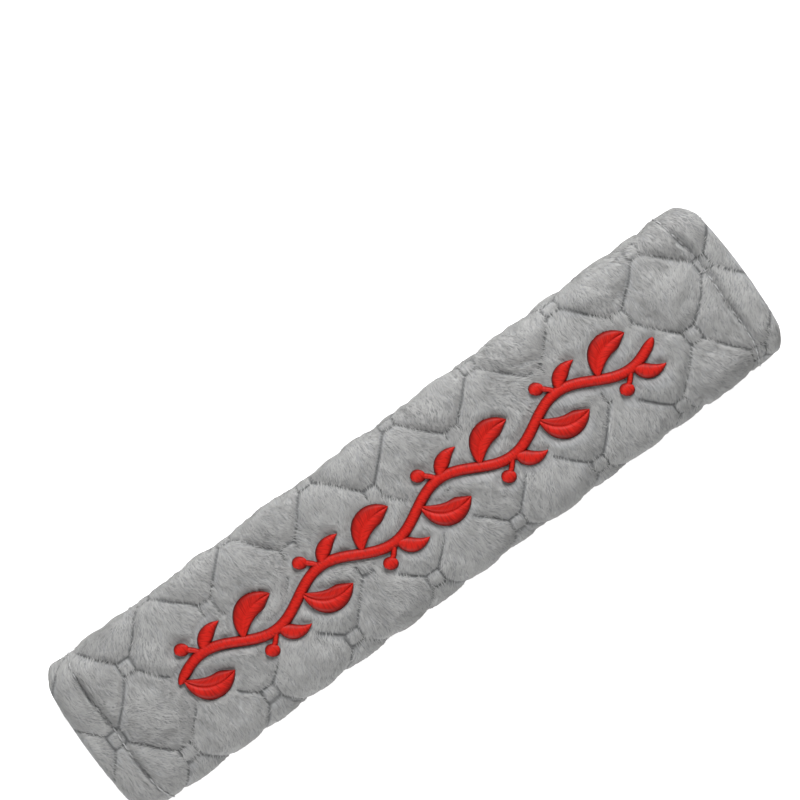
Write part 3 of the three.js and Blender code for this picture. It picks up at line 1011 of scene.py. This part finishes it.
pitch = stitch_length + stitch_gap
tape_seam = 4.5 * MM
hem_line = half_length - hem_width
hem_places = []
for end in (-1, 1):
    for s in np.arange(ramp_start + MM, outer_edge - lip_round, pitch):
        stitch_ends = np.array([s, s + stitch_length])
        hem_x = end * (hem_line + inside_hem(end * hem_line, stitch_ends))
        hem_places.append(list(zip(hem_x, stitch_ends)))
hem_thread = sewn_stitches(hem_places, "hem_thread")
tape_s = outer_edge - tape_seam
tape_starts = np.arange(tape_low.x, tape_high.x - pitch, pitch)
tape_places = [((x, tape_s), (x + stitch_length, tape_s)) for x in tape_starts]
tape_thread = sewn_stitches(tape_places, "tape_thread")
print(len(hem_places), "hem stitches,", len(tape_places), "tape stitches")

# %% [markdown]
# ## Lining and foam
#
# The belt slides over a smooth woven lining. It is thin and held all round, so it only ripples a little.
# Behind it lies the foam. A Solidify modifier could thicken one sheet, but both layers have set levels on
# both sides, so they are made like the cover: an outer and an inner grid, bridged.

# %% Make the inner layers
layer_step = 3 * MM
ripple_wave = 17 * MM


def layer_piece(name, low_s, high_s, low_n, high_n, ripple):
    """A hidden layer between two places across the panel and two levels off the belt."""
    column_count = round((lining_high.x - lining_low.x) / layer_step)
    layer_columns = np.linspace(lining_low.x, lining_high.x, column_count)
    layer_rows = np.concatenate([
        stations(low_s, -back_start, layer_step),
        stations(-back_start, back_start, layer_step),
        np.append(stations(back_start, high_s, layer_step), high_s),
    ])

    def rippled(level):
        return lambda x, s: level + ripple * (wander(x, s, ripple_wave, 31) - 1)

    top = cloth_grid("top", layer_columns, layer_rows, rippled(high_n), no_drift)
    bottom = cloth_grid("bottom", layer_columns, layer_rows, rippled(low_n), no_drift)
    piece = close_cloth(top, bottom, name)
    bpy.ops.object.shade_smooth_by_angle(angle=math.radians(50))
    return piece


lining = layer_piece("woven_lining", under_edge + edge_turn + layer_gap, core_outer_end - layer_gap,
                     0.1 * MM, lining_thickness, 0.05 * MM)
foam = layer_piece("foam_core", core_under_end + layer_gap, core_outer_end - layer_gap,
                   foam_level, wall_base - layer_gap, 0.03 * MM)
print("lining", len(lining.data.polygons), "foam", len(foam.data.polygons), "faces")

# %% [markdown]
# The two halves of the fastening tape lie face to face between the flaps. One is covered with little
# loops, the other with rows of hooks. Single hooks would take more faces than the whole pad, and at this
# size both halves read as a rough nap with a smooth selvedge, so the nap is pushed up out of a grid.

# %% Weave a tape
selvedge = 1.5 * MM
selvedge_slope = 0.5 * MM
bare_end = 4 * MM
tape_web = 0.42
tape_step = 0.7 * MM


def tape_piece(name, low, high, up, rough):
    """A strip with a rough face, which looks up (1) or down (-1); rough gives its nap from 0 to 1."""
    back_z, face_z = (low.z, high.z) if up > 0 else (high.z, low.z)

    def lay(u, v, is_face):
        x = mix(low.x, high.x, u)
        y = mix(low.y, high.y, v)
        from_side = np.minimum(y - low.y, high.y - y)
        inset = np.minimum(half_length - hem_width - bare_end - np.abs(x), from_side)
        napped = smooth((inset - selvedge) / selvedge_slope) * (0.55 + 0.45 * rough(x, y))
        share = tape_web + (1 - tape_web) * napped if is_face else np.zeros(len(x))
        return x, y, np.stack([x, y, mix(back_z, face_z, share)], axis=1)

    squares = [round((high.x - low.x) / tape_step), round((high.y - low.y) / tape_step)]
    face = laid_grid("face", *squares, lambda u, v: lay(u, v, True))
    back = laid_grid("back", *squares, lambda u, v: lay(u, v, False))
    return close_cloth(face, back, name)


# %% Make the fastening tapes
hook_low, hook_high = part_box("hook_tape")
loop_size = 1.9 * MM
hook_pitch = 1.4 * MM


def loops(x, y):
    return 0.5 + 0.5 * np.clip(wander(x, y, loop_size, 41), -1, 1)


def hooks(x, y):
    return np.sin(math.pi * x / hook_pitch) ** 2 * np.sin(math.pi * y / hook_pitch) ** 2


loop_piece = tape_piece("loop_strip", tape_low, tape_high, -1, loops)
hook_piece = tape_piece("hook_strip", hook_low, hook_high, 1, hooks)
print("tapes:", len(loop_piece.data.polygons), "and", len(hook_piece.data.polygons), "faces")

# %% [markdown]
# ## Finishes
#
# Each finish is a small network of shader nodes. It could be drawn in the shader editor, but written out
# it can be read and changed like the rest. Three helpers keep it short: a wrapper that lets a node's
# output be used in sums, a class that makes a material and adds nodes to it, and one that adds patterns.


# %% Write shader sums as plain sums
class Amount:
    """What comes out of a node."""

    def __init__(self, finish, socket):
        self.finish = finish
        self.socket = socket

    def sum_with(self, operation, first, second):
        return self.finish.node("Math", {"operation": operation}, {0: first, 1: second})

    def __add__(self, other):
        return self.sum_with("ADD", self, other)

    def __sub__(self, other):
        return self.sum_with("SUBTRACT", self, other)

    def __rsub__(self, other):
        return self.sum_with("SUBTRACT", other, self)

    def __mul__(self, other):
        return self.sum_with("MULTIPLY", self, other)

    def __pow__(self, other):
        return self.sum_with("POWER", self, other)

    def __rpow__(self, other):
        return self.sum_with("POWER", other, self)

    __radd__ = __add__
    __rmul__ = __mul__


# %% Build a finish
socket_names = {
    "sheen_weight": "Sheen Weight",
    "sheen_roughness": "Sheen Roughness",
    "specular_ior_level": "Specular IOR Level",
}


class Finish:
    """A material whose surface is a Principled shader."""

    def __init__(self, name, roughness=0.8, **uniform):
        self.material = bpy.data.materials.new(name)
        self.material.use_nodes = True
        self.nodes = self.material.node_tree.nodes
        self.links = self.material.node_tree.links
        self.shader = self.nodes["Principled BSDF"]
        self.shader.inputs["Roughness"].default_value = roughness
        for key, value in uniform.items():
            self.shader.inputs[socket_names[key]].default_value = value

    def node(self, kind, settings, sockets, out=0):
        """Adds a node, sets it, feeds its sockets and returns one of its outputs."""
        made = self.nodes.new("ShaderNode" + kind)
        for key, value in settings.items():
            setattr(made, key, value)
        for key, value in sockets.items():
            if isinstance(value, Amount):
                self.links.new(value.socket, made.inputs[key])
            else:
                made.inputs[key].default_value = value
        return Amount(self, made.outputs[out])

    def colours(self, share, dark, pale):
        """A colour between a dark and a pale one; the sockets are those of a mix of colours."""
        return self.node("Mix", {"data_type": "RGBA"}, {0: share, 6: (*dark, 1), 7: (*pale, 1)}, out=2)

    def paint(self, socket, value):
        self.links.new(value.socket, self.shader.inputs[socket])

    def bump(self, height, strength, distance):
        sockets = {"Strength": strength, "Distance": distance, "Height": height}
        self.paint("Normal", self.node("Bump", {}, sockets))

    def on_object(self):
        return self.node("TexCoord", {}, {}, out="Object")


# %% Patterns for cloth, foam and thread
class Fabric(Finish):
    """A finish with the patterns of soft things."""

    def noise(self, place_on, scale, detail, distortion=0.0):
        sockets = {"Vector": place_on, "Scale": scale, "Detail": detail, "Distortion": distortion}
        return self.node("TexNoise", {}, sockets)

    def cells(self, place_on, scale):
        return self.node("TexVoronoi", {"feature": "F1"}, {"Vector": place_on, "Scale": scale})

    def bands(self, place_on, direction):
        sockets = {"Vector": place_on, "Scale": 0.55, "Distortion": 0.3}
        return self.node("TexWave", {"wave_type": "BANDS", "bands_direction": direction}, sockets, out="Fac")

    def on_cloth(self, scale, map_name="cloth"):
        """Places on a piece's own map of its cloth, stretched by a scale."""
        place_on = self.node("UVMap", {"uv_map": map_name}, {})
        return self.node("Mapping", {}, {"Vector": place_on, "Scale": scale})


# %% [markdown]
# The ground of the plush shows between the locks, so it is painted a shade deeper than they are, as
# painted shade under the pile, and darkest in the sewn creases, as painted shade there. Its fibres are
# drawn as noise that is stretched along the nap and bent by a slower noise. The locks come in three
# greys, which make the streaks, and each grey drifts over the pad, as plush does where a hand has
# brushed it.

# %% Plush and its pile
plush_sheen = {"specular_ior_level": 0.2, "sheen_weight": 0.2, "sheen_roughness": 0.6}
plush = Fabric("plush_ground", roughness=0.95, **plush_sheen)
nap = plush.noise(plush.on_cloth((150, 26, 1)), 1.0, 3.0, 0.6)
patches = plush.noise(plush.on_cloth((5, 5, 1)), 1.0, 2.0)
crease_painted_shade = plush.node("Attribute", {"attribute_name": "crease"}, {}, out="Fac")
# The nap and the patches are the plush's own tone; the factor from the crease attribute is painted shade,
# and the dark end of the colour is that painted shade's colour.
shade = (nap * 0.9 + patches * 0.4 - 0.08) * (1 - crease_painted_shade * 0.9)
plush.paint("Base Color", plush.colours(shade, (0.045, 0.046, 0.047), (0.46, 0.465, 0.468)))
plush.bump(nap, 0.6, 0.5 * MM)

pile_greys = {"pile_deep": 0.31, "pile_mid": 0.36, "pile_pale": 0.4, "pile_back": 0.36}
pile_sheen = {"specular_ior_level": 0.2, "sheen_weight": 0.15, "sheen_roughness": 0.5}
pile_finish = {}
for name, grey in pile_greys.items():
    finish = Fabric(name, roughness=0.85, **pile_sheen)
    brushed = finish.noise(finish.on_object(), 85.0, 3.0) * 2.4 - 0.7
    dull, bright = [(grey * tone, grey * tone, grey * tone * 0.985) for tone in (0.86, 1.12)]
    finish.paint("Base Color", finish.colours(brushed, dull, bright))
    pile_finish[name] = finish

# %% [markdown]
# Satin thread is rayon or polyester, so it shines softly where the column is crowned. Its colour is
# darkened towards the edges as painted shade, where the column's sides turn steeply away, and every few
# threads take the dye a little differently. The stitches' own map gives both: one axis runs along a
# column, one across it.

# %% Satin thread
satin = Fabric("satin_thread", roughness=0.5, specular_ior_level=0.15)
stitch_place = satin.node("UVMap", {"uv_map": "stitch"}, {})
across = satin.node("SeparateXYZ", {}, {"Vector": stitch_place}, out="Y")
# Painted shade: the crown factor darkens the colour towards both edges of each column, where its sides turn
# away from the light; the fibres noise is the dye's own variation.
crown = (across * (1 - across) * 4.0) ** 0.9
fibres = satin.noise(satin.on_cloth((22, 2, 1), "stitch"), 1.0, 4.0)
dye_and_painted_shade = crown * (fibres * 2.4 - 0.25)
satin.paint("Base Color", satin.colours(dye_and_painted_shade, (0.1, 0.002, 0.001), (0.54, 0.014, 0.008)))
satin.bump(fibres, 0.35, 0.15 * MM)

# %% [markdown]
# The hidden pieces get their own finishes too: a plain weave for the lining, made of two sets of bands
# that cross, open cells for the foam, curls for the fastening tape and a fine twist for the thread.

# %% Lining, foam, tape and sewing thread
weave = Fabric("lining_weave", roughness=0.7, sheen_weight=0.2)
lining_place = weave.on_cloth((100, 100, 1))
threads = weave.bands(lining_place, "X") * weave.bands(lining_place, "Y")
weave.paint("Base Color", weave.colours(threads, (0.10, 0.102, 0.105), (0.27, 0.272, 0.28)))
weave.bump(threads, 0.5, 0.2 * MM)

sponge = Fabric("foam_cells", roughness=0.95)
pores = sponge.cells(sponge.on_object(), 1400.0)
sponge.paint("Base Color", sponge.colours(pores, (0.66, 0.64, 0.58), (0.86, 0.84, 0.78)))
sponge.bump(pores, 0.6, 0.3 * MM)

tape = Fabric("fastening_tape", roughness=0.75, sheen_weight=0.2)
curls = tape.cells(tape.on_cloth((100, 100, 1)), 1.5)
tape.paint("Base Color", tape.colours(curls, (0.09, 0.092, 0.095), (0.21, 0.212, 0.22)))
tape.bump(curls, 0.8, 0.4 * MM)

sewing = Fabric("sewing_thread", roughness=0.6, sheen_weight=0.2)
twist = sewing.noise(sewing.on_object(), 2600.0, 1.0)
sewing.paint("Base Color", sewing.colours(twist, (0.30, 0.302, 0.305), (0.52, 0.524, 0.53)))
sewing.bump(twist, 0.4, 0.1 * MM)


# %% Dress every piece
def dress(obj, finish):
    obj.data.materials.clear()
    obj.data.materials.append(finish.material)


dress(cover, plush)
for piece in pile:
    dress(piece, pile_finish[piece.name])
dress(vine, satin)
dress(hem_thread, sewing)
dress(tape_thread, sewing)
dress(lining, weave)
dress(foam, sponge)
dress(loop_piece, tape)
dress(hook_piece, tape)

# %% [markdown]
# ## Tie the pieces to the frame
#
# Nothing on the pad is jointed, so every piece rides on the one body. The soft pieces stand for the
# frame's plain solids.

# %% Ride and replace
for piece in [cover, vine, hem_thread, tape_thread, lining, foam, loop_piece, hook_piece] + pile:
    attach(piece, "root")
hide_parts("quilted_cover")
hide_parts("embroidered_vine")
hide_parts("lining")
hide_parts("foam_sheet")
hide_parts("loop_tape")
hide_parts("hook_tape")
for piece in [cover] + pile + [hem_thread, tape_thread]:
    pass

lining_back = core_outer_end - under_edge - edge_turn - 2 * layer_gap - 2 * back_start
lining_folds = math.tau * (half_gap + lining_thickness / 2)
lining_flat = (2 * fold_centre + lining_folds + lining_back, lining_high.x - lining_low.x)
print("lining cut:", [round(side / MM) for side in lining_flat], "mm")

# %% [markdown]
# ## Camera, floor and light
#
# The pad lies on white paper and is seen from straight above, turned so that it runs up to the right. A
# broad soft lamp stands beyond the picture's top edge and shades the lower flank of every pillow. A weak
# one opposite keeps the near fold from going dark. Lamps overhead would light the paper as well but would
# flatten the quilting.

# %% Camera
camera_turn = math.radians(36.35)
pixel = 0.3704 * MM
picture_width = 800
pad_right_of_middle = 14.5
pad_below_middle = 108.2
right = Vector((math.cos(camera_turn), -math.sin(camera_turn), 0))
upward = Vector((math.sin(camera_turn), math.cos(camera_turn), 0))
aim = -right * pad_right_of_middle * pixel + upward * pad_below_middle * pixel
camera_height = 1.6
camera_data = bpy.data.cameras.new("camera")
camera_data.sensor_width = 36
camera_data.lens = 36 * (camera_height - cover_high.z / 2) / (picture_width * pixel)
camera = bpy.data.objects.new("camera", camera_data)
camera.location = (aim.x, aim.y, camera_height)
camera.rotation_euler = (0, 0, -camera_turn)
bpy.context.scene.collection.objects.link(camera)
bpy.context.scene.camera = camera
print(f"lens {camera_data.lens:.0f} mm")


# %% Floor
def background_share(network):
    """1 for rays that show the background, to the eye or through metal and glass, and 0 for the light."""
    share = network.node("LightPath", {}, {}, out="Is Camera Ray")
    for ray in ("Is Glossy Ray", "Is Transmission Ray"):
        share = share.sum_with("MAXIMUM", share, network.node("LightPath", {}, {}, out=ray))
    return share


bpy.ops.object.select_all(action="DESELECT")
bpy.ops.mesh.primitive_plane_add(size=6, location=(0, 0, 0))
floor = bpy.context.object
floor.name = "paper_floor"
paper = Finish("white_paper", roughness=0.9)
paper.shader.inputs["Base Color"].default_value = (0.86, 0.86, 0.86, 1)
glow = paper.node("Emission", {}, {"Strength": background_share(paper) * 0.75})
both = paper.node("AddShader", {}, {0: Amount(paper, paper.shader.outputs[0]), 1: glow})
paper.links.new(both.socket, paper.nodes["Material Output"].inputs["Surface"])
dress(floor, paper)


# %% Lights
lamp_distance = 1.4
world_light = 0.2


def soft_lamp(name, direction, height, size, energy):
    lamp = bpy.data.lights.new(name, "AREA")
    lamp.size = size
    lamp.energy = energy
    obj = bpy.data.objects.new(name, lamp)
    obj.location = direction * lamp_distance + Vector((0, 0, height))
    obj.rotation_euler = (-obj.location).to_track_quat("-Z", "Y").to_euler()
    bpy.context.scene.collection.objects.link(obj)


soft_lamp("key_lamp", upward, 1.0, 0.8, 40)
soft_lamp("fill_lamp", -upward - right * 0.2, 0.55, 0.9, 18)


# %% Sky
class Sky(Finish):
    """A world's background, to which nodes are added as to a material."""

    def __init__(self, name):
        self.world = bpy.data.worlds.new(name)
        self.world.use_nodes = True
        self.nodes = self.world.node_tree.nodes
        self.links = self.world.node_tree.links
        self.shader = self.nodes["Background"]


sky = Sky("studio")
sky.shader.inputs["Color"].default_value = (1, 1, 1, 1)
sky.paint("Strength", background_share(sky) * (1 - world_light) + world_light)
bpy.context.scene.world = sky.world
bpy.context.scene.view_settings.view_transform = "Standard"
